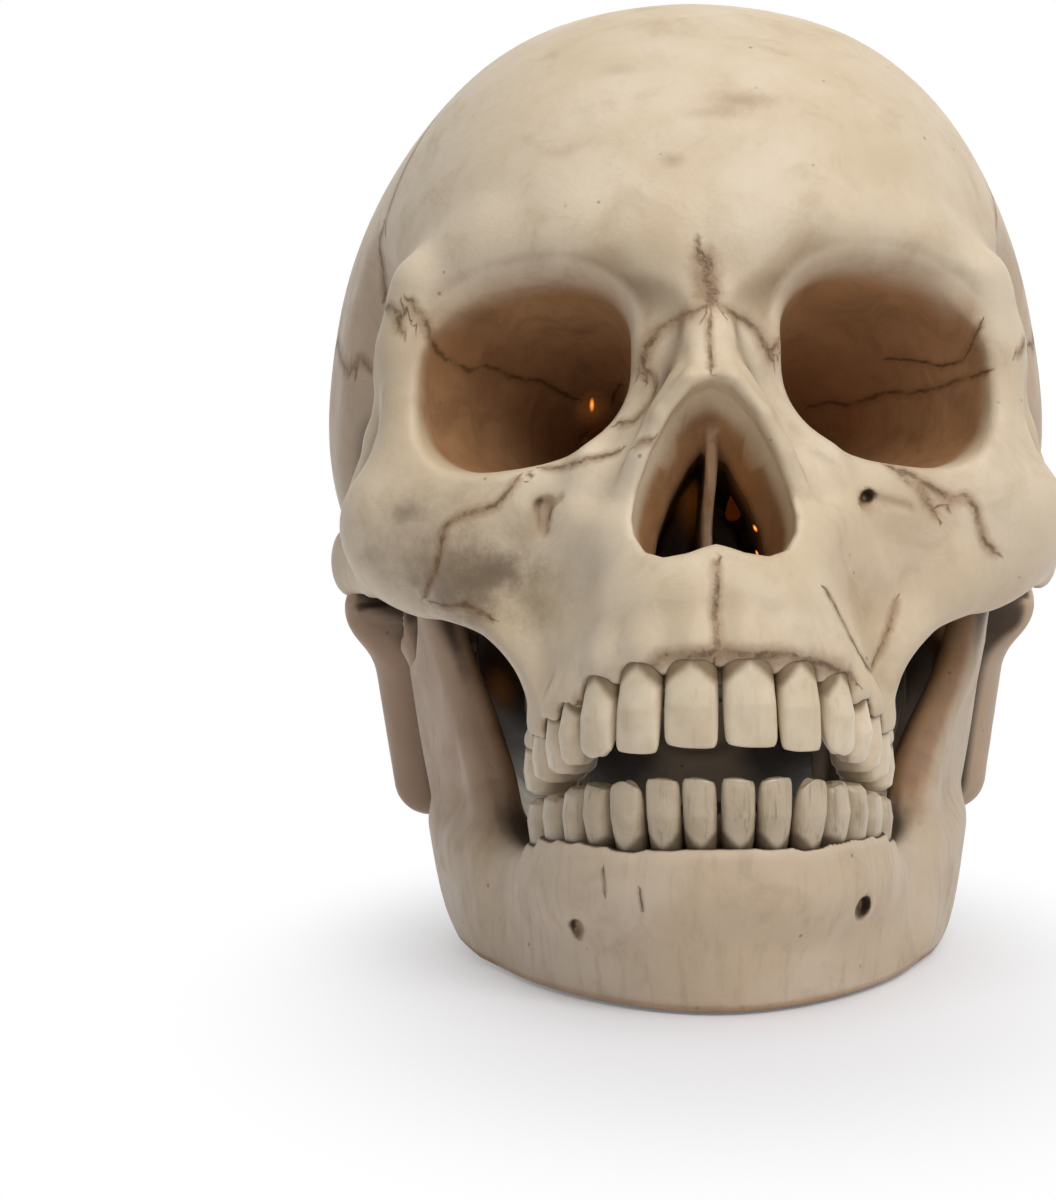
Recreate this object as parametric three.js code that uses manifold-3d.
// Life-size skull decoration in cast resin: a hollow skull with set teeth, a jaw hinged on two pins,
// and a battery candle lamp screwed into the base, whose warm light shows through the nose and eyes.
// Millimetres, +Z up from the table, the face looks along -Y. Y is measured from the jaw's hinge axis
// until the last step, which puts the origin under the middle of the whole object.

import * as THREE from 'three';
import { mergeVertices } from 'three/addons/utils/BufferGeometryUtils.js';
import Module from 'manifold-3d';

// Skull casting
const CRANIAL_BREADTH = 138;      // widest part of the braincase
const FRONTAL_BREADTH = 120;      // braincase above the eyes
const VAULT_HEIGHT = 171;         // table to crown
const FOREHEAD_DEPTH = 58;        // hinge axis to forehead
const OCCIPUT_DEPTH = 104;        // hinge axis to back of head
const CHEEK_BREADTH = 131;        // across the cheek arches
const ARCH_THICKNESS = 5;         // cheek arch, seen from above
const ARCH_DEPTH = 10;            // cheek arch, top to bottom
const WALL = 7;                   // casting thickness round the brain space
const CAP_JOINT_HEIGHT = 138;     // the skull cap is glued on at this height
const FACE_JOINT_Y = -20;         // the face is glued to the braincase here
const UPPER_JAW_JOINT_HEIGHT = 61;  // the tooth-bearing upper jaw is glued under the face
const CHEEK_GAP_DEPTH = 20;       // hollow of the temple behind the cheek arch
const PALATE_HALF_WIDTH = 18.5;
const PALATE_HALF_LENGTH = 29;
const PALATE_RISE = 16;           // hollow of the palate above the back teeth's edges

// Eye sockets and nose
const ORBIT_WIDTH = 36;
const ORBIT_HEIGHT = 33;
const ORBIT_SPACING = 63;         // centre to centre
const ORBIT_CENTRE_HEIGHT = 105.5;
const ORBIT_DEPTH = 40;
const ORBIT_SWEEP = 0.32;         // outer rim set back, mm per mm
const ORBIT_RAKE = 0.12;          // upper rim set back, mm per mm
const ORBIT_DROOP = 0.12;         // outer corner lowered, mm per mm
const NOSE_WIDTH = 27;
const NOSE_FLOOR_HEIGHT = 72;
const NOSE_TOP_HEIGHT = 102;
const NOSE_DEPTH = 46;
const NOSE_FRONT_Y = -74;
const NOSE_TILT = 14;             // degrees, the channel falls to the back
const SEPTUM_THICKNESS = 2.4;
const LIGHT_PASSAGE_RADIUS = 4;   // from the brain space into nose and sockets
const PASSAGE_LENGTH = 50;

// Jaw casting
const HINGE_HEIGHT = 54;
const CONDYLE_HALF_WIDTH = 7;
const CONDYLE_RADIUS = 6;
const CONDYLE_SPACING = 98;       // centre to centre
const CHIN_REACH = 92;            // hinge axis to front of chin, along the table
const JAW_ANGLE_BREADTH = 91;     // across the jaw's base, below the hinge
const JAW_LEAN = 0.17;            // outward lean of the rising branches, mm per mm
const JAW_BRANCH_TURN = 0.2;      // front border of a branch turned inwards, mm per mm
const JAW_GUM_MARGIN = 1.2;       // gum outside the lower teeth
const JAW_CHIN_HEIGHT = 28;       // base to gum at the front
const JAW_MOLAR_HEIGHT = 22;      // base to gum at the back teeth
const JAW_BODY_THICKNESS = 13;
const JAW_BRANCH_THICKNESS = 9;
const CORONOID_HEIGHT = 66;
const JAW_NOTCH_HEIGHT = 50;

// Teeth, numbered from the middle outwards on each side
const UPPER_WIDTHS = [9.6, 8.4, 8.2, 7.0, 6.8, 9.0, 8.6];
const LOWER_WIDTHS = [6.3, 6.5, 6.9, 6.8, 6.9, 9.6, 9.4];
const UPPER_CROWNS = [14.8, 15.0, 14.2, 11.0, 9.8, 8.8, 8.0];
const LOWER_CROWNS = [12.0, 12.0, 11.8, 10.2, 9.2, 8.0, 7.6];
const UPPER_ARCH_REACH = 96;      // hinge axis to the front teeth
const UPPER_ARCH_BREADTH = 66;    // across the outer faces of the last teeth
const UPPER_EDGE_HEIGHT = 45;     // table to the biting edge of the front teeth
const UPPER_BITE_SLOPE = 0.355;   // fall of the biting edges towards the back, mm per mm
const LOWER_ARCH_REACH = 94;
const LOWER_ARCH_BREADTH = 66;
const LOWER_BITE_SLOPE = 0.27;
const ROOT_DEPTH = 4;             // tooth below the gum, in its socket
const FRONT_TOOTH_THICKNESS = 6.2;
const BACK_TOOTH_THICKNESS = 9.6;

// Hinge hardware
const PIN_RADIUS = 1.6;
const PIN_LENGTH = 23;
const PIN_HEAD_RADIUS = 3.2;
const PIN_HEAD_LENGTH = 1.6;
const PIN_HEAD_SINK = 3.2;        // its seat lies this far inside the condyle's outer end
const WASHER_RADIUS = 4.2;
const WASHER_THICKNESS = 1;

// Candle lamp in the base
const LAMP_TILT = -18;            // degrees, its foot looks down and forwards
const LAMP_Y = 6;
const LAMP_FOOT_HEIGHT = 13;
const LAMP_FLANGE_RADIUS = 25;
const LAMP_FLANGE_THICKNESS = 2.4;
const LAMP_CUP_RADIUS = 17.5;
const LAMP_CUP_HEIGHT = 15;
const LAMP_CUP_WALL = 1.6;
const LAMP_SCREW_CIRCLE = 21.4;
const LAMP_SCREW_RADIUS = 1.25;
const LAMP_SCREW_LENGTH = 6;
const LAMP_SCREW_HEAD_RADIUS = 2.4;
const LAMP_SCREW_HEAD_LENGTH = 1.5;
const LID_THICKNESS = 1.8;
const FLAME_RADIUS = 6;
const FLAME_HEIGHT = 22;
const LED_RADIUS = 2.5;
const LED_HEIGHT = 8;
const BOARD_HEIGHT = 9.6;         // underside of the board above the cup's foot
const BOARD_THICKNESS = 1.4;
const CELL_RADIUS = 10;
const CELL_HEIGHT = 3.2;
const CELL_Y = 3.2;
const DOOR_RADIUS = 11;
const SWITCH_Y = -10.5;
const SWITCH_LENGTH = 6;
const SWITCH_WIDTH = 3.2;
const SWITCH_TRAVEL = 3;

// Felt under the part
const FELT_THICKNESS = 1.2;
const OCCIPUT_PAD_RADIUS = 12;
const OCCIPUT_PAD_Y = 52;

// Fits
const GAP = 0.3;                  // between pieces that touch
const PIN_CLEARANCE = 0.3;
const CONDYLE_CLEARANCE = 1;

const wasm = await Module();
wasm.setup();

const SIDES = [['left', -1], ['right', 1]];
const radians = THREE.MathUtils.degToRad;
const lerp = THREE.MathUtils.lerp;
const smoothstep = THREE.MathUtils.smoothstep;

// Solids and booleans

function solidOf(geometry) {
  const bare = geometry.clone();
  bare.deleteAttribute('normal');
  bare.deleteAttribute('uv');
  const merged = mergeVertices(bare, 1e-4);
  return new wasm.Manifold(new wasm.Mesh({
    numProp: 3,
    vertProperties: merged.attributes.position.array,
    triVerts: new Uint32Array(merged.index.array),
  }));
}

function geometryOf(solid) {
  const mesh = solid.getMesh();
  const geometry = new THREE.BufferGeometry();
  geometry.setAttribute('position', new THREE.BufferAttribute(mesh.vertProperties, 3));
  geometry.setIndex(new THREE.BufferAttribute(mesh.triVerts, 1));
  geometry.computeVertexNormals();
  return geometry;
}

const joined = (geometries) => geometries.map(solidOf).reduce((whole, next) => whole.add(next));
const cutBy = (solid, geometries) => geometries.reduce((left, tool) => left.subtract(solidOf(tool)), solid);

function cylinder(radius, length, segments = 20) {
  return new THREE.CylinderGeometry(radius, radius, length, segments).rotateX(Math.PI / 2);
}

function crossCylinder(radius, fromX, toX, y, z, segments = 16) {
  const length = Math.abs(toX - fromX);
  return new THREE.CylinderGeometry(radius, radius, length, segments)
    .rotateZ(Math.PI / 2)
    .translate((fromX + toX) / 2, y, z);
}

// A closed skin over rings that all have the same number of points.
function loft(rings) {
  const count = rings[0].length;
  const position = rings.flat().flatMap((p) => [p.x, p.y, p.z]);
  const index = [];
  for (let r = 0; r + 1 < rings.length; r++) {
    for (let i = 0; i < count; i++) {
      const a = r * count + i;
      const b = r * count + ((i + 1) % count);
      index.push(a, b, b + count, a, b + count, a + count);
    }
  }
  const last = (rings.length - 1) * count;
  for (let i = 1; i + 1 < count; i++) {
    index.push(0, i + 1, i, last, last + i, last + i + 1);
  }
  const geometry = new THREE.BufferGeometry();
  geometry.setAttribute('position', new THREE.Float32BufferAttribute(position, 3));
  geometry.setIndex(index);
  return facingOut(geometry);
}

function facingOut(geometry) {
  const p = geometry.attributes.position;
  const index = geometry.index.array;
  const [a, b, c] = [new THREE.Vector3(), new THREE.Vector3(), new THREE.Vector3()];
  let volume = 0;
  for (let i = 0; i < index.length; i += 3) {
    a.fromBufferAttribute(p, index[i]);
    b.fromBufferAttribute(p, index[i + 1]);
    c.fromBufferAttribute(p, index[i + 2]);
    volume += a.dot(b.cross(c));
  }
  if (volume < 0) geometry.setIndex(Array.from(index).reverse());
  return geometry;
}

// Clay: rounded lumps that melt into each other, given as distances to their skin

function ellipsoid(x, y, z, rx, ry, rz) {
  return (p) => {
    const [u, v, w] = [(p.x - x) / rx, (p.y - y) / ry, (p.z - z) / rz];
    const near = Math.hypot(u, v, w);
    const slope = Math.hypot(u / rx, v / ry, w / rz);
    return slope < 1e-9 ? -Math.min(rx, ry, rz) : (near * (near - 1)) / slope;
  };
}

function bar(from, to, fromRadius, toRadius) {
  const a = new THREE.Vector3(...from);
  const along = new THREE.Vector3(...to).sub(a);
  const offset = new THREE.Vector3();
  return (p) => {
    offset.copy(p).sub(a);
    const share = THREE.MathUtils.clamp(offset.dot(along) / along.lengthSq(), 0, 1);
    return offset.addScaledVector(along, -share).length() - lerp(fromRadius, toRadius, share);
  };
}

const bothSides = (lump) => {
  const mirrored = new THREE.Vector3();
  return (p) => lump(mirrored.set(Math.abs(p.x), p.y, p.z));
};

function melted(lumps, reach) {
  return (p) => lumps.map((lump) => lump(p)).reduce((d, next) => {
    const share = THREE.MathUtils.clamp(0.5 + (0.5 * (next - d)) / reach, 0, 1);
    return lerp(next, d, share) - reach * share * (1 - share);
  });
}

const hollowed = (lump, tool, reach) => {
  const kept = melted([(p) => -lump(p), tool], reach);
  return (p) => -kept(p);
};

// A sphere drawn onto the clay's skin along rays from a centre. Its poles look along Y, and focus
// above 1 crowds its rings towards the face.
function wrapped(clay, { centre, around, along, farthest, focus = 1 }) {
  const geometry = new THREE.SphereGeometry(1, around, along);
  const p = geometry.attributes.position;
  const polar = new THREE.Spherical();
  const ray = new THREE.Vector3();
  const at = new THREE.Vector3();
  const depthAt = (r) => clay(at.copy(centre).addScaledVector(ray, r));
  for (let i = 0; i < p.count; i++) {
    polar.setFromVector3(ray.fromBufferAttribute(p, i));
    polar.phi = Math.PI * (polar.phi / Math.PI) ** (1 / focus);
    ray.setFromSpherical(polar).normalize();
    let outside = farthest;
    while (outside > 1 && depthAt(outside) > 0) outside -= 1;
    let inside = outside;
    outside += 1;
    for (let step = 0; step < 20; step++) {
      const middle = (inside + outside) / 2;
      if (depthAt(middle) > 0) outside = middle;
      else inside = middle;
    }
    at.copy(centre).addScaledVector(ray, inside);
    p.setXYZ(i, at.x, at.y, at.z);
  }
  return geometry;
}

// Tooth rows

// Half of a tooth row in plan: a curve from the middle of the front back along one side.
function archCurve(reach, breadth) {
  const half = breadth / 2;
  return new THREE.CatmullRomCurve3([
    new THREE.Vector3(-half * 0.42, -reach + 3.4, 0),
    new THREE.Vector3(0, -reach, 0),
    new THREE.Vector3(half * 0.42, -reach + 3.4, 0),
    new THREE.Vector3(half * 0.73, -reach + 13, 0),
    new THREE.Vector3(half * 0.93, -reach + 29, 0),
    new THREE.Vector3(half, -reach + 52, 0),
  ]);
}

// Where each tooth of one side sits: its middle on the arch and the way along the arch there.
function toothPlaces(curve, widths) {
  const start = 1 / 5;
  const samples = 400;
  const points = [];
  for (let i = 0; i <= samples; i++) points.push(curve.getPoint(lerp(start, 1, i / samples)));
  const places = [];
  let target = 0;
  for (const width of widths) {
    target += width / 2;
    let walked = 0;
    let i = 1;
    while (i < samples && walked + points[i].distanceTo(points[i - 1]) < target) {
      walked += points[i].distanceTo(points[i - 1]);
      i += 1;
    }
    const along = points[i].clone().sub(points[i - 1]).normalize();
    places.push({ at: points[i].clone(), along });
    target += width / 2;
  }
  return places;
}

// One tooth as stacked rounded rings, from its root in the gum to its biting edge.
// upwards is 1 for a lower tooth, whose edge is at the top, and -1 for an upper one.
function tooth({ place, width, crown, thickness, edgeZ, upwards, grow = 0, levels = 5 }) {
  const spread = width - 2 * GAP;
  const rank = smoothstep(thickness, FRONT_TOOTH_THICKNESS, BACK_TOOTH_THICKNESS);
  const profile = [
    // height below the edge, share of the width, share of the thickness
    [crown + ROOT_DEPTH, 0.62, 0.55],
    [crown, 0.78, 0.92],
    [crown * 0.5, 0.98, 1],
    [crown * 0.12, 0.97, lerp(0.52, 0.9, rank)],
    [0, 0.8, lerp(0.28, 0.62, rank)],
  ];
  const outward = new THREE.Vector3(place.along.y, -place.along.x, 0);
  const sides = 8;
  const square = (v) => Math.sign(v) * Math.abs(v / Math.cos(Math.PI / sides)) ** 0.7;
  return loft(profile.slice(0, levels).map(([below, wide, thick], level) => {
    const ring = [];
    const extra = level === 0 ? -upwards * grow : 0;
    for (let i = 0; i < sides; i++) {
      const angle = ((i + 0.5) / sides) * 2 * Math.PI;
      const inner = Math.sin(angle) < 0 ? lerp(0.68, 0.86, rank) : 1;
      const across = square(Math.cos(angle)) * ((spread / 2) * wide * inner + grow);
      const deep = square(Math.sin(angle)) * ((thickness / 2) * thick + grow);
      const lean = (rank - 1) * 0.22 * (crown - below);
      ring.push(place.at.clone()
        .addScaledVector(place.along, across)
        .addScaledVector(outward, deep - thickness / 2 - lean)
        .setZ(edgeZ - upwards * below + extra));
    }
    return ring;
  }));
}

// The teeth of one row, both sides, as settings for tooth().
function toothRow({ name, reach, breadth, widths, crowns, edgeHeight, slope, upwards }) {
  const places = toothPlaces(archCurve(reach, breadth), widths);
  return SIDES.flatMap(([sideName, side]) => places.map(({ at, along }, i) => ({
    name: `${name}_tooth_${sideName}_${i + 1}`,
    place: {
      at: at.clone().setX(side * at.x),
      along: new THREE.Vector3(along.x, side * along.y, 0),
    },
    width: widths[i],
    crown: crowns[i],
    thickness: lerp(FRONT_TOOTH_THICKNESS, BACK_TOOTH_THICKNESS, smoothstep(i, 1.5, 5)),
    edgeZ: edgeHeight - slope * (at.y + reach),
    upwards,
  })));
}

const upperTeeth = toothRow({
  name: 'upper', reach: UPPER_ARCH_REACH, breadth: UPPER_ARCH_BREADTH, widths: UPPER_WIDTHS,
  crowns: UPPER_CROWNS, edgeHeight: UPPER_EDGE_HEIGHT, slope: UPPER_BITE_SLOPE, upwards: -1,
});
const lowerTeeth = toothRow({
  name: 'lower', reach: LOWER_ARCH_REACH, breadth: LOWER_ARCH_BREADTH, widths: LOWER_WIDTHS,
  crowns: LOWER_CROWNS, edgeHeight: JAW_CHIN_HEIGHT + LOWER_CROWNS[0], slope: LOWER_BITE_SLOPE,
  upwards: 1,
});

// Braincase and face as clay

const apart = (halfBreadth, lump) => SIDES.map(([, side]) => lump(side * halfBreadth));
const bossSpacing = 14;
const crownRadius = 58;
const vaultLength = 61;
const meltRise = 3;
const crown = ellipsoid(0, 20, VAULT_HEIGHT - meltRise - 68, FRONTAL_BREADTH / 2 - 2, 64, 68);
const frontal = apart(bossSpacing, (x) => ellipsoid(
  x, crownRadius - FOREHEAD_DEPTH, VAULT_HEIGHT - crownRadius - 5,
  FRONTAL_BREADTH / 2 - bossSpacing, crownRadius, crownRadius));
const parietal = apart(bossSpacing, (x) => ellipsoid(
  x, OCCIPUT_DEPTH - vaultLength, 94, CRANIAL_BREADTH / 2 - bossSpacing, vaultLength, 66));
const occipital = ellipsoid(0, OCCIPUT_PAD_Y, 44, 54, 47, 46);
const temporal = ellipsoid(0, 24, 84, CRANIAL_BREADTH / 2 - 7, 48, 38);
const skullBase = ellipsoid(0, 18, 44, 40, 44, 35);
const brainCentre = new THREE.Vector3(0, 32, 92);
const cheekX = CHEEK_BREADTH / 2;
const temple = bothSides(ellipsoid(cheekX - 1, -18, 80, CHEEK_GAP_DEPTH, 26, 24));
const upperTemple = bothSides(ellipsoid(cheekX + 10.5, -16, 106, 25, 24, 35));
const vault = hollowed(
  melted([crown, ...frontal, ...parietal, occipital, temporal, skullBase], 16), temple, 8);
const braincase = hollowed(vault, upperTemple, 3.5);

const orbitX = ORBIT_SPACING / 2;
const orbitOuterX = orbitX + ORBIT_WIDTH / 2;
const orbitTop = ORBIT_CENTRE_HEIGHT + ORBIT_HEIGHT / 2;
const orbitBottom = ORBIT_CENTRE_HEIGHT - ORBIT_HEIGHT / 2;
const archRootZ = HINGE_HEIGHT + 13;

const mirroredBar = (...settings) => bothSides(bar(...settings));
const browRidge = mirroredBar([6, -48, orbitTop + 3], [orbitOuterX - 4, -36.5, orbitTop], 8, 7);
const outerRim = mirroredBar(
  [orbitOuterX + 1, -37, orbitTop - 3], [orbitOuterX, -41, orbitBottom + 4], 6, 7);
const cheekBone = bothSides(ellipsoid(orbitOuterX - 2, -45, orbitBottom - 12, 14, 12, 14));
const lowerRim = mirroredBar(
  [orbitOuterX - 6, -46, orbitBottom - 5], [16, -58, orbitBottom - 3], 8, 6);
const noseRim = mirroredBar([14, -67, NOSE_FLOOR_HEIGHT + 6], [5, -66, NOSE_TOP_HEIGHT - 1], 6.5, 6);
const noseSide = mirroredBar([14, -60, orbitBottom], [7, -51, orbitTop - 6], 6.5, 6);
const noseBridge = bar([0, -50, orbitTop - 8], [0, -69, NOSE_TOP_HEIGHT + 2], 7, 6);
const noseFill = bar([0, -67, NOSE_TOP_HEIGHT - 3], [0, -71, NOSE_FLOOR_HEIGHT], 7, 12);
const eyeFill = bothSides(ellipsoid(orbitX, -28, ORBIT_CENTRE_HEIGHT, 22, 24, 21));
const midFace = ellipsoid(0, -34, 78, 29, 36, 26);
const upperJaw = ellipsoid(0, -52, 66, 36, 37, 25);
const cheekFill = bothSides(ellipsoid(36, -49, 75, 13, 12, 12));
const cheekCrest = mirroredBar([orbitOuterX - 4, -47, orbitBottom - 20], [28, -64, 52], 7.5, 6);
const canineHollow = bothSides(ellipsoid(33, -79, 71, 12, 12, 14));
const cheekHollow = bothSides(ellipsoid(44, -58, 47, 12.7, 34, 13.7));
const mastoid = bar([49.5, 16, 55], [47.5, 14.5, 24], 10, 6.5);

// The bony ridge that holds the upper teeth follows their row.
function upperGum() {
  const gumRadius = 5;
  const ridgeRadius = 6.5;
  const ridgeRise = 2.5;
  const ridgeSetback = 5;
  const seats = (inset, rise) => {
    const row = upperTeeth.filter((settings) => settings.place.at.x > 0).map((settings) => {
      const { at, along } = settings.place;
      const deep = settings.thickness / 2 + inset;
      return [at.x - along.y * deep, at.y + along.x * deep, settings.edgeZ + settings.crown + rise];
    });
    return [[0, row[0][1], row[0][2]], ...row];
  };
  const bars = (row, radius) => row.slice(1).map((seat, i) => mirroredBar(row[i], seat, radius, radius));
  return [
    ...bars(seats(1, gumRadius - 1.2), gumRadius),
    ...bars(seats(ridgeSetback, gumRadius + ridgeRise), ridgeRadius),
  ];
}

// One eye socket: a rounded-square funnel that narrows back, inwards and down.
const orbitThroat = { x: 16, y: -10, z: ORBIT_CENTRE_HEIGHT - 17 };

function orbitRing(side, share) {
  const throat = orbitThroat;
  const mouthY = throat.y - ORBIT_DEPTH;
  const inside = Math.max(share, 0);
  const taper = share < 0 ? 1 - 0.1 * share : Math.sqrt(1 - 0.88 * share * share);
  const points = [];
  const sides = 18;
  for (let i = 0; i < sides; i++) {
    const angle = (i / sides) * 2 * Math.PI;
    const square = (v) => Math.sign(v) * Math.abs(v) ** 0.72;
    const across = square(Math.cos(angle)) * (ORBIT_WIDTH / 2) * taper;
    const up = square(Math.sin(angle)) * (ORBIT_HEIGHT / 2) * taper;
    const x = lerp(orbitX, throat.x, share) + across;
    const y = lerp(mouthY, throat.y, share) + across * ORBIT_SWEEP * (1 - inside) + up * ORBIT_RAKE;
    const z = lerp(ORBIT_CENTRE_HEIGHT, throat.z, inside) + up - across * ORBIT_DROOP;
    points.push(new THREE.Vector3(side * x, y, z));
  }
  return points;
}

const orbitCut = (side) => loft([-0.45, 0, 0.3, 0.6, 0.82, 1].map((share) => orbitRing(side, share)));

// The pear-shaped nose opening, drawn looking along Y, and the same with the septum left standing.
function noseOutline() {
  const half = NOSE_WIDTH / 2;
  const low = NOSE_FLOOR_HEIGHT;
  const high = NOSE_TOP_HEIGHT;
  const wide = low + 8;
  const outline = new THREE.Shape();
  outline.moveTo(0, low + 3.5);
  outline.quadraticCurveTo(2, low, half * 0.55, low);
  outline.quadraticCurveTo(half, low, half, wide);
  outline.bezierCurveTo(half, wide + 8, half * 0.5, high - 2, 0, high);
  outline.bezierCurveTo(-half * 0.5, high - 2, -half, wide + 8, -half, wide);
  outline.quadraticCurveTo(-half, low, -half * 0.55, low);
  outline.quadraticCurveTo(-2, low, 0, low + 3.5);
  return outline;
}

function noseCut() {
  const openFront = 34;
  const septumSetback = 14;
  const pear = new THREE.ExtrudeGeometry(noseOutline(), {
    depth: NOSE_DEPTH + openFront, bevelEnabled: false, curveSegments: 4,
  });
  const channel = solidOf(pear.rotateX(Math.PI / 2).translate(0, NOSE_FRONT_Y + NOSE_DEPTH, 0));
  const septum = new THREE.BoxGeometry(SEPTUM_THICKNESS, NOSE_DEPTH, NOSE_TOP_HEIGHT)
    .translate(0, NOSE_FRONT_Y + septumSetback + NOSE_DEPTH / 2, NOSE_TOP_HEIGHT / 2);
  return geometryOf(channel.subtract(solidOf(septum)))
    .translate(0, -NOSE_FRONT_Y, -NOSE_FLOOR_HEIGHT)
    .rotateX(-radians(NOSE_TILT))
    .translate(0, NOSE_FRONT_Y, NOSE_FLOOR_HEIGHT);
}

// The cheek arch: a flattened bar swept from the cheekbone back to the root above the hinge.
function cheekArch(side) {
  const reach = cheekX - ARCH_THICKNESS / 2;
  const route = new THREE.CatmullRomCurve3([
    [orbitOuterX - 1, -46, archRootZ + 4],
    [reach - 5, -36, archRootZ + 5],
    [reach, -22, archRootZ + 4],
    [reach - 1, -6, archRootZ + 1],
    [reach - 6, 10, archRootZ + 1],
  ].map(([x, y, z]) => new THREE.Vector3(x, y, z)));
  const steps = 8;
  const sides = 8;
  const rings = [];
  for (let i = 0; i <= steps; i++) {
    const at = route.getPoint(i / steps);
    const along = route.getTangent(i / steps);
    const outward = new THREE.Vector3(-along.y, along.x, 0).normalize().negate();
    const ring = [];
    for (let k = 0; k < sides; k++) {
      const angle = (k / sides) * 2 * Math.PI;
      const p = at.clone()
        .addScaledVector(outward, (Math.cos(angle) * ARCH_THICKNESS) / 2)
        .add(new THREE.Vector3(0, 0, (Math.sin(angle) * ARCH_DEPTH) / 2));
      ring.push(p.set(side * p.x, p.y, p.z));
    }
    rings.push(ring);
  }
  return loft(rings);
}

// Lamp: turned parts about its own axis, foot at zero

const lamp = new THREE.Group();
lamp.position.set(0, LAMP_Y, LAMP_FOOT_HEIGHT);
lamp.rotation.x = radians(LAMP_TILT);
lamp.updateMatrix();

function turned(profile, segments = 18) {
  const points = profile.map(([r, z]) => new THREE.Vector2(r, z));
  return new THREE.LatheGeometry(points, segments).rotateX(Math.PI / 2);
}

const lampScrewPlaces = [-LAMP_SCREW_CIRCLE, LAMP_SCREW_CIRCLE];
const cellFootZ = LAMP_CUP_WALL + GAP;
const lidZ = LAMP_CUP_HEIGHT + GAP;
const flameFootZ = lidZ + LID_THICKNESS + GAP;
const boardTopZ = BOARD_HEIGHT + GAP + BOARD_THICKNESS;
const ledFootZ = boardTopZ + GAP;

const rod = (radius, fromZ, toZ, x = 0, y = 0, segments = 20) => cylinder(radius, toZ - fromZ, segments)
  .translate(x, y, (fromZ + toZ) / 2);

function lampCup() {
  const bore = LAMP_CUP_RADIUS - LAMP_CUP_WALL;
  const shelf = bore - 2;
  const cup = solidOf(turned([
    [0, 0], [LAMP_FLANGE_RADIUS, 0], [LAMP_FLANGE_RADIUS, LAMP_FLANGE_THICKNESS],
    [LAMP_CUP_RADIUS, LAMP_FLANGE_THICKNESS], [LAMP_CUP_RADIUS, LAMP_CUP_HEIGHT],
    [bore, LAMP_CUP_HEIGHT], [bore, BOARD_HEIGHT], [shelf, BOARD_HEIGHT],
    [shelf, LAMP_CUP_WALL], [0, LAMP_CUP_WALL],
  ]));
  const slot = new THREE.BoxGeometry(
    SWITCH_LENGTH + SWITCH_TRAVEL + 2 * GAP, SWITCH_WIDTH + 2 * GAP, 4 * LAMP_CUP_WALL)
    .translate(0, SWITCH_Y, 0);
  const holes = lampScrewPlaces.map((x) => rod(LAMP_SCREW_RADIUS + GAP, -1, LAMP_FLANGE_THICKNESS + 1, x, 0, 12));
  return geometryOf(cutBy(cup, [slot, rod(DOOR_RADIUS + GAP, -1, LAMP_CUP_WALL + 1, 0, CELL_Y, 20), ...holes]));
}

function lampLid() {
  const spigot = LAMP_CUP_RADIUS - LAMP_CUP_WALL - GAP;
  const opening = LED_RADIUS + 1;
  return turned([
    [opening, lidZ - 1.6], [spigot, lidZ - 1.6], [spigot, lidZ], [LAMP_CUP_RADIUS, lidZ],
    [LAMP_CUP_RADIUS, lidZ + LID_THICKNESS], [opening, lidZ + LID_THICKNESS], [opening, lidZ - 1.6],
  ]);
}

function flameLens() {
  const bore = LED_RADIUS + 0.8;
  const boreTop = ledFootZ + LED_HEIGHT + 1;
  const tip = flameFootZ + FLAME_HEIGHT;
  const belly = flameFootZ + FLAME_HEIGHT * 0.3;
  return turned([
    [bore, flameFootZ], [FLAME_RADIUS * 0.8, flameFootZ], [FLAME_RADIUS, belly],
    [FLAME_RADIUS * 0.72, flameFootZ + FLAME_HEIGHT * 0.6], [FLAME_RADIUS * 0.3, flameFootZ + FLAME_HEIGHT * 0.86],
    [0, tip], [0, boreTop], [bore, boreTop - 1], [bore, flameFootZ],
  ], 14);
}

const led = () => turned([
  [0, ledFootZ], [LED_RADIUS + 0.4, ledFootZ], [LED_RADIUS + 0.4, ledFootZ + 1], [LED_RADIUS, ledFootZ + 1],
  [LED_RADIUS, ledFootZ + LED_HEIGHT - LED_RADIUS], [LED_RADIUS * 0.7, ledFootZ + LED_HEIGHT - 0.7],
  [0, ledFootZ + LED_HEIGHT],
], 12);

const circuitBoard = () => rod(
  LAMP_CUP_RADIUS - LAMP_CUP_WALL - GAP, BOARD_HEIGHT + GAP, boardTopZ, 0, 0, 20);

const coinCell = () => turned([
  [0, cellFootZ], [CELL_RADIUS - 0.8, cellFootZ], [CELL_RADIUS - 0.8, cellFootZ + 0.6],
  [CELL_RADIUS, cellFootZ + 0.6], [CELL_RADIUS, cellFootZ + CELL_HEIGHT], [0, cellFootZ + CELL_HEIGHT],
]).translate(0, CELL_Y, 0);

// A bent strip that presses on the cell from under the board.
function contactSpring() {
  const thickness = 0.5;
  const top = BOARD_HEIGHT;
  const low = cellFootZ + CELL_HEIGHT + GAP;
  const strip = new THREE.Shape();
  strip.moveTo(-6, top - thickness);
  strip.lineTo(-6, top);
  strip.lineTo(2, top);
  strip.lineTo(5, low + thickness);
  strip.lineTo(8, low + thickness);
  strip.lineTo(8, low);
  strip.lineTo(4.6, low);
  strip.lineTo(1.7, top - thickness);
  return new THREE.ExtrudeGeometry(strip, { depth: 4, bevelEnabled: false })
    .rotateX(Math.PI / 2)
    .rotateZ(Math.PI / 2)
    .translate(-2, 0, 0);
}

const batteryDoor = () => rod(DOOR_RADIUS, 0, LAMP_CUP_WALL, 0, CELL_Y, 20);

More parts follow.
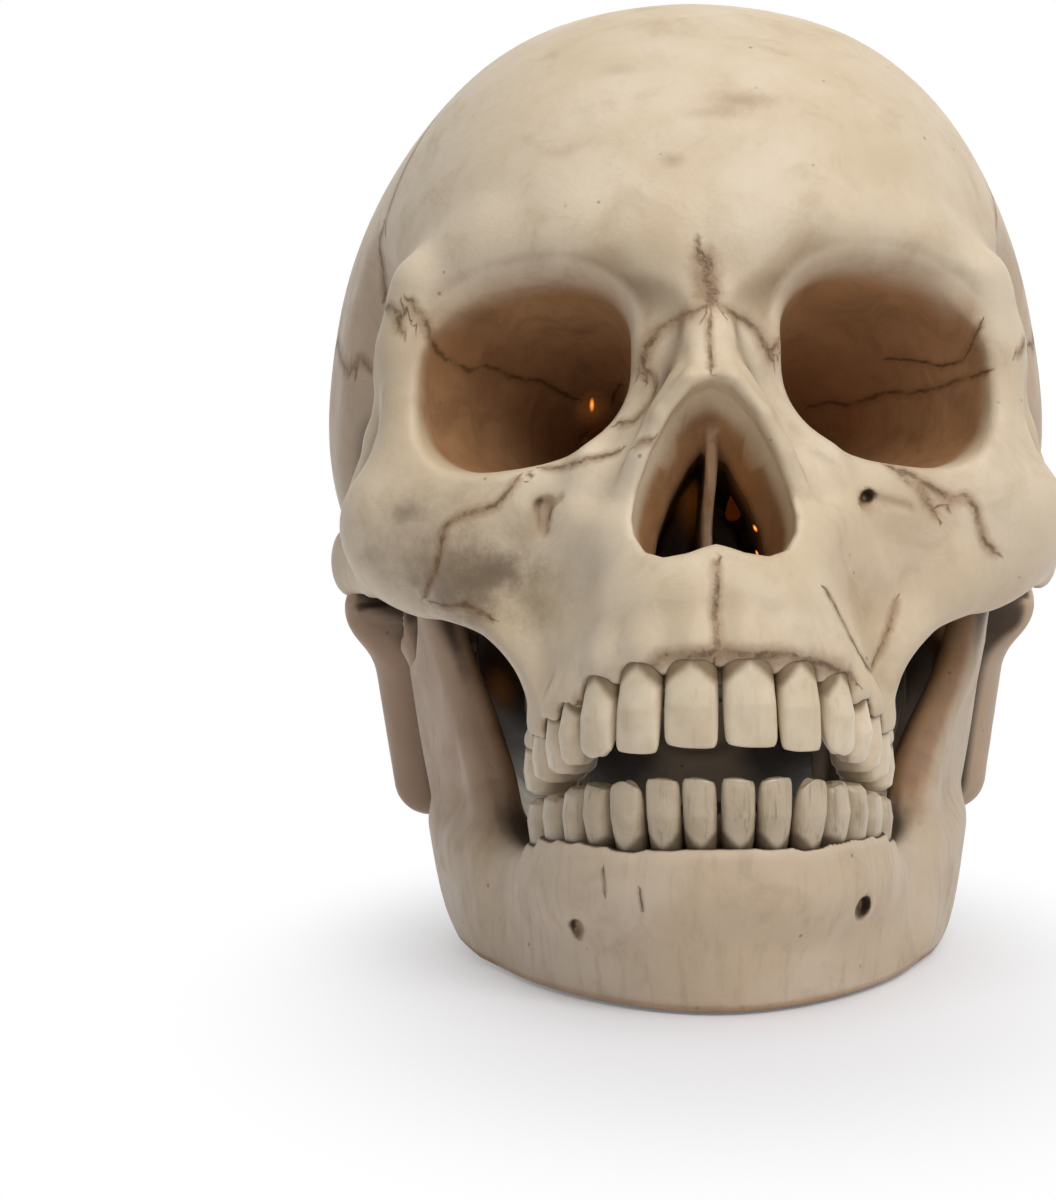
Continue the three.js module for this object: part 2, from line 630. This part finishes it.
function switchSlider() {
  const collar = new THREE.BoxGeometry(SWITCH_LENGTH + 1, SWITCH_WIDTH + 1.2, 1)
    .translate(0, 0, LAMP_CUP_WALL + GAP + 0.5);
  const thumb = new THREE.BoxGeometry(SWITCH_LENGTH, SWITCH_WIDTH, LAMP_CUP_WALL + GAP + 1.2)
    .translate(0, 0, (LAMP_CUP_WALL + GAP - 0.4) / 2);
  return geometryOf(joined([collar, thumb])).translate(-SWITCH_TRAVEL / 2, SWITCH_Y, 0);
}

const lampScrew = (x) => geometryOf(joined([
  rod(LAMP_SCREW_HEAD_RADIUS, -GAP - LAMP_SCREW_HEAD_LENGTH, -GAP, x, 0, 14),
  rod(LAMP_SCREW_RADIUS, -GAP - 0.5, LAMP_SCREW_LENGTH, x, 0, 10),
]));

// The seat that the lamp is let into, cut from the underside of the skull.
const lampSeat = () => {
  const below = -40;
  const flange = rod(LAMP_FLANGE_RADIUS + GAP, below, LAMP_FLANGE_THICKNESS + GAP, 0, 0, 24);
  const bore = rod(LAMP_CUP_RADIUS + GAP, below, LAMP_CUP_HEIGHT + 2, 0, 0, 20);
  const holes = lampScrewPlaces.map((x) => rod(LAMP_SCREW_RADIUS + GAP, below, LAMP_SCREW_LENGTH + GAP, x, 0, 10));
  return [flange, bore, ...holes].map((geometry) => geometry.applyMatrix4(lamp.matrix));
};

// Skull casting

const floorOfBone = FELT_THICKNESS + GAP;
const condyleX = CONDYLE_SPACING / 2;
const pinSeatX = condyleX + CONDYLE_HALF_WIDTH - PIN_HEAD_SINK;
const pinHeadX = pinSeatX + GAP;
const pinInnerX = pinHeadX - PIN_LENGTH;

function jointRoom(side) {
  const inner = condyleX - CONDYLE_HALF_WIDTH - WASHER_THICKNESS - 2 * GAP;
  const outer = condyleX + CONDYLE_HALF_WIDTH + 12;
  const radius = CONDYLE_RADIUS + CONDYLE_CLEARANCE;
  const roof = crossCylinder(radius, side * inner, side * outer, 0, HINGE_HEIGHT, 20);
  const below = new THREE.BoxGeometry(outer - inner, 2 * radius + 30, HINGE_HEIGHT)
    .translate((side * (inner + outer)) / 2, radius - (2 * radius + 30) / 2, HINGE_HEIGHT / 2);
  return [roof, below];
}

// The rounded bone as one solid. The face and mastoids melt into the braincase, and stay a little
// under its skin where they run along it.
function bone() {
  const underSkin = (p) => braincase(p) + 0.9;
  const frontPart = melted([
    underSkin,
    melted([
      browRidge, outerRim, cheekBone, cheekFill, lowerRim, noseRim, noseSide, noseBridge, cheekCrest, eyeFill,
    ], 7),
    melted([upperJaw, midFace, noseFill], 6),
  ], 9);
  const cheeks = hollowed(hollowed(frontPart, canineHollow, 8), cheekHollow, 2.5);
  const facePart = melted([cheeks, ...upperGum()], 5);
  const faceCentre = new THREE.Vector3(0, -45, 86);
  const faceReach = ellipsoid(...faceCentre, 68, 62, 54);
  const mastoidPart = melted([underSkin, mastoid], 8);
  const mastoidCentre = new THREE.Vector3(51, 16, 44);
  const mastoidReach = ellipsoid(...mastoidCentre, 24, 24, 30);
  const rightMastoid = wrapped((p) => Math.max(mastoidPart(p), mastoidReach(p)), {
    centre: mastoidCentre, around: 12, along: 8, farthest: 31,
  });
  return joined([
    wrapped(braincase, { centre: brainCentre, around: 28, along: 17, farthest: 120 }),
    wrapped((p) => Math.max(facePart(p), faceReach(p)), {
      centre: faceCentre, around: 38, along: 22, farthest: 69, focus: 1.6,
    }),
    rightMastoid,
    facingOut(rightMastoid.clone().scale(-1, 1, 1)),
    ...SIDES.map(([, side]) => cheekArch(side)),
  ]);
}

// The brain space keeps its wall to the outside and stays clear of the eye sockets.
function brainCut() {
  const orbitRoom = bothSides(ellipsoid(26, -30, ORBIT_CENTRE_HEIGHT - 8, 24, 26, 24));
  const space = (p) => Math.max(braincase(p) + WALL, WALL / 2 - orbitRoom(p));
  return wrapped(space, { centre: brainCentre, around: 18, along: 12, farthest: 120 });
}

// Passages that let the lamp shine into the sockets and the nose.
function lightPassages() {
  const passage = (x, y, z) => new THREE.CylinderGeometry(
    LIGHT_PASSAGE_RADIUS, LIGHT_PASSAGE_RADIUS, PASSAGE_LENGTH, 10).translate(x, y, z);
  return [
    ...SIDES.map(([, side]) => passage(side * orbitThroat.x, 0, orbitThroat.z)),
    passage(NOSE_WIDTH / 4, -18, NOSE_FLOOR_HEIGHT + 12),
  ];
}

// The hollow of the palate between the upper rows.
const palateCut = () => new THREE.SphereGeometry(1, 12, 8)
  .rotateX(Math.PI / 2)
  .scale(PALATE_HALF_WIDTH, PALATE_HALF_LENGTH, PALATE_RISE)
  .translate(0, PALATE_HALF_LENGTH + 11 - UPPER_ARCH_REACH, UPPER_EDGE_HEIGHT - 7);

// A block that reaches past the skull on every side, with one face at the given place.
const beyond = 400;
const blockBelow = (z) => new THREE.BoxGeometry(beyond, beyond, beyond).translate(0, 0, z - beyond / 2);
const blockAbove = (z) => blockBelow(z + beyond);
const blockInFront = (y) => new THREE.BoxGeometry(beyond, beyond, beyond).translate(0, y - beyond / 2, 0);
const blockBehind = (y) => blockInFront(y + beyond);

// The skull is cast in four pieces: cap, braincase and face are glued round the brain space, and the
// upper jaw, with its teeth already set, is glued under the face, where the front roots act as pegs.
function skullCastings() {
  const pinHoles = SIDES.map(([, side]) => crossCylinder(
    PIN_RADIUS + PIN_CLEARANCE, side * (pinInnerX - GAP), side * (condyleX + 30), 0, HINGE_HEIGHT, 12));
  const whole = cutBy(bone(), [
    ...SIDES.map(([, side]) => orbitCut(side)),
    noseCut(),
    brainCut(),
    ...lightPassages(),
    palateCut(),
    ...SIDES.flatMap(([, side]) => jointRoom(side)),
    ...pinHoles,
    ...lampSeat(),
    blockBelow(floorOfBone),
    ...upperTeeth.map((settings) => tooth({ ...settings, grow: GAP, levels: 4 })),
  ]);
  const joint = GAP / 2;
  const aboveCapJoint = blockAbove(CAP_JOINT_HEIGHT - joint);
  const behindFace = blockBehind(FACE_JOINT_Y - joint);
  const belowFace = blockBelow(UPPER_JAW_JOINT_HEIGHT + joint);
  return {
    skull_cap: geometryOf(cutBy(whole, [blockBelow(CAP_JOINT_HEIGHT + joint)])),
    braincase: geometryOf(cutBy(whole, [aboveCapJoint, blockInFront(FACE_JOINT_Y + joint)])),
    face: geometryOf(cutBy(whole, [aboveCapJoint, behindFace, belowFace])),
    upper_jaw: geometryOf(cutBy(whole, [behindFace, blockAbove(UPPER_JAW_JOINT_HEIGHT - joint)])),
  };
}

// Jaw casting

// The jaw's outer base line in plan, from the chin back to below one hinge.
const jawLine = new THREE.CatmullRomCurve3([
  [-13, -CHIN_REACH + 4.6], [0, -CHIN_REACH], [13, -CHIN_REACH + 4.6], [26, -CHIN_REACH + 17.5],
  [36, -CHIN_REACH + 36], [JAW_ANGLE_BREADTH / 2 - 1.5, -24], [JAW_ANGLE_BREADTH / 2, 1],
].map(([x, y]) => new THREE.Vector3(x, y, 0)));
const jawLineStart = 1 / 6;
const molarY = -58;
const crestAtChin = LOWER_ARCH_REACH + JAW_GUM_MARGIN - CHIN_REACH;
const crestAtMolars = LOWER_ARCH_BREADTH / 2 + JAW_GUM_MARGIN - 37;

function jawTop(y) {
  const gum = lerp(JAW_CHIN_HEIGHT, JAW_MOLAR_HEIGHT, smoothstep(y, -CHIN_REACH, molarY));
  const rise = THREE.MathUtils.clamp((y + 50) / 25.5, 0, 1) ** 1.5;
  const fall = smoothstep(y, -25, -12);
  const branch = lerp(CORONOID_HEIGHT, JAW_NOTCH_HEIGHT, fall);
  return lerp(gum, branch, rise);
}

function jawBottom(y) {
  const angle = smoothstep(y, -22, 14);
  return floorOfBone + (HINGE_HEIGHT - 4) * angle ** 1.1;
}

function jawRing(side, share) {
  const u = lerp(jawLineStart, 1, share);
  const at = jawLine.getPoint(u);
  const along = jawLine.getTangent(u);
  const outward = new THREE.Vector3(along.y, -along.x, 0).normalize();
  const branch = smoothstep(at.y, -54, -34);
  const thickness = lerp(JAW_BODY_THICKNESS, JAW_BRANCH_THICKNESS, branch);
  const crest = lerp(crestAtChin, crestAtMolars, smoothstep(at.y, -CHIN_REACH, molarY));
  const turn = JAW_BRANCH_TURN * branch * THREE.MathUtils.clamp(-8 - at.y, 0, 24);
  const [low, high] = [jawBottom(at.y), jawTop(at.y)];
  const section = [
    // share of the thickness from the outside, share of the height
    [0.12, 0], [0, 0.1], [0, 0.5], [0.02, 0.85], [0.2, 1],
    [0.8, 1], [1, 0.85], [0.95, 0.5], [0.9, 0.12], [0.75, 0],
  ];
  return section.map(([deep, rise]) => {
    const z = lerp(low, high, rise);
    const lean = lerp(crest * rise, JAW_LEAN * z, branch) - turn * smoothstep(z, 8, 34);
    const p = at.clone().addScaledVector(outward, lean - deep * thickness);
    return p.set(side * p.x, p.y, z);
  });
}

function mandible() {
  const steps = 15;
  const rings = [];
  for (let i = steps; i > 0; i--) rings.push(jawRing(-1, i / steps));
  for (let i = 0; i <= steps; i++) rings.push(jawRing(1, i / steps));
  const condyles = SIDES.map(([, side]) => new THREE.SphereGeometry(1, 12, 8)
    .rotateZ(Math.PI / 2)
    .scale(CONDYLE_HALF_WIDTH, CONDYLE_RADIUS, CONDYLE_RADIUS)
    .translate(side * condyleX, 0, HINGE_HEIGHT));
  const bores = SIDES.map(([, side]) => crossCylinder(
    PIN_RADIUS + PIN_CLEARANCE, side * (condyleX - 20), side * (condyleX + 20), 0, HINGE_HEIGHT, 12));
  const seats = SIDES.map(([, side]) => crossCylinder(
    PIN_HEAD_RADIUS + PIN_CLEARANCE, side * pinSeatX, side * (condyleX + 20), 0, HINGE_HEIGHT, 14));
  const sockets = lowerTeeth.map((settings) => tooth({ ...settings, grow: GAP, levels: 3 }));
  return geometryOf(cutBy(joined([loft(rings), ...condyles]), [...bores, ...seats, ...sockets]));
}

// The felt strip glued under the jaw follows its base line.
function jawFelt() {
  const end = 0.86;
  const steps = 14;
  const outer = [];
  const inner = [];
  for (let i = 0; i <= steps; i++) {
    const u = lerp(jawLineStart, end, i / steps);
    const at = jawLine.getPoint(u);
    const along = jawLine.getTangent(u);
    const outward = new THREE.Vector3(along.y, -along.x, 0).normalize();
    outer.push(at.clone().addScaledVector(outward, -2));
    inner.push(at.clone().addScaledVector(outward, -JAW_BRANCH_THICKNESS + 1));
  }
  const mirrored = (points) => points.slice(1).reverse().map((p) => new THREE.Vector3(-p.x, p.y, 0));
  const outline = [...mirrored(outer), ...outer, ...inner.slice().reverse(), ...mirrored(inner).reverse()];
  const shape = new THREE.Shape(outline.map((p) => new THREE.Vector2(p.x, p.y)));
  return new THREE.ExtrudeGeometry(shape, { depth: FELT_THICKNESS, bevelEnabled: false });
}

const occiputPad = () => rod(OCCIPUT_PAD_RADIUS, 0, FELT_THICKNESS, 0, OCCIPUT_PAD_Y, 24);

// Hinge hardware: a headed pin through each condyle, and a washer between condyle and skull

function hingePin(side) {
  return geometryOf(joined([
    crossCylinder(PIN_RADIUS, side * pinInnerX, side * (pinHeadX + 0.5), 0, HINGE_HEIGHT, 14),
    crossCylinder(PIN_HEAD_RADIUS, side * pinHeadX, side * (pinHeadX + PIN_HEAD_LENGTH), 0, HINGE_HEIGHT, 18),
  ]));
}

function hingeWasher(side) {
  const outer = condyleX - CONDYLE_HALF_WIDTH - GAP;
  const ring = solidOf(crossCylinder(
    WASHER_RADIUS, side * (outer - WASHER_THICKNESS), side * outer, 0, HINGE_HEIGHT, 18));
  return geometryOf(cutBy(ring, [crossCylinder(
    PIN_RADIUS + PIN_CLEARANCE, side * (outer - 5), side * (outer + 5), 0, HINGE_HEIGHT, 14)]));
}

// Materials

const finish = (color, roughness, metalness = 0, more = {}) => new THREE.MeshStandardMaterial({
  color, roughness, metalness, ...more,
});
const castBone = finish(0xc9b795, 0.55);
const jawBone = finish(0xa89a80, 0.6);
const enamel = finish(0xd8c8a2, 0.35);
const lowerEnamel = finish(0xb3a78c, 0.4);
const steel = finish(0xb8bbc0, 0.3, 1);
const lampPlastic = finish(0x2a2724, 0.5);
const board = finish(0x2f6b3f, 0.5);
const flame = finish(0xffb45a, 0.3, 0, { emissive: 0xff8a2a });
const felt = finish(0x2b2622, 0.95);

// Assembly

const skull = new THREE.Group();
skull.add(lamp);
const place = (name, geometry, material, group = skull) => {
  const mesh = new THREE.Mesh(geometry, material);
  mesh.name = name;
  group.add(mesh);
};

Object.entries(skullCastings()).forEach(([name, casting]) => place(name, casting, castBone));
upperTeeth.forEach((settings) => place(settings.name, tooth(settings), enamel));
place('mandible', mandible(), jawBone);
lowerTeeth.forEach((settings) => place(settings.name, tooth(settings), lowerEnamel));
place('jaw_felt', jawFelt(), felt);
place('occiput_pad', occiputPad(), felt);
SIDES.forEach(([name, side]) => {
  place(`jaw_pin_${name}`, hingePin(side), steel);
  place(`jaw_washer_${name}`, hingeWasher(side), steel);
});
place('lamp_cup', lampCup(), lampPlastic, lamp);
place('lamp_lid', lampLid(), lampPlastic, lamp);
place('flame_lens', flameLens(), flame, lamp);
place('led', led(), flame, lamp);
place('circuit_board', circuitBoard(), board, lamp);
place('coin_cell', coinCell(), steel, lamp);
place('contact_spring', contactSpring(), steel, lamp);
place('battery_door', batteryDoor(), lampPlastic, lamp);
place('switch_slider', switchSlider(), lampPlastic, lamp);
lampScrewPlaces.forEach((x, i) => place(`lamp_screw_${i + 1}`, lampScrew(x), steel, lamp));

// The origin lies on the table under the middle of the object.
const box = new THREE.Box3().setFromObject(skull);
const middle = box.getCenter(new THREE.Vector3());
skull.position.set(-middle.x, -middle.y, -box.min.z);

export default skull;
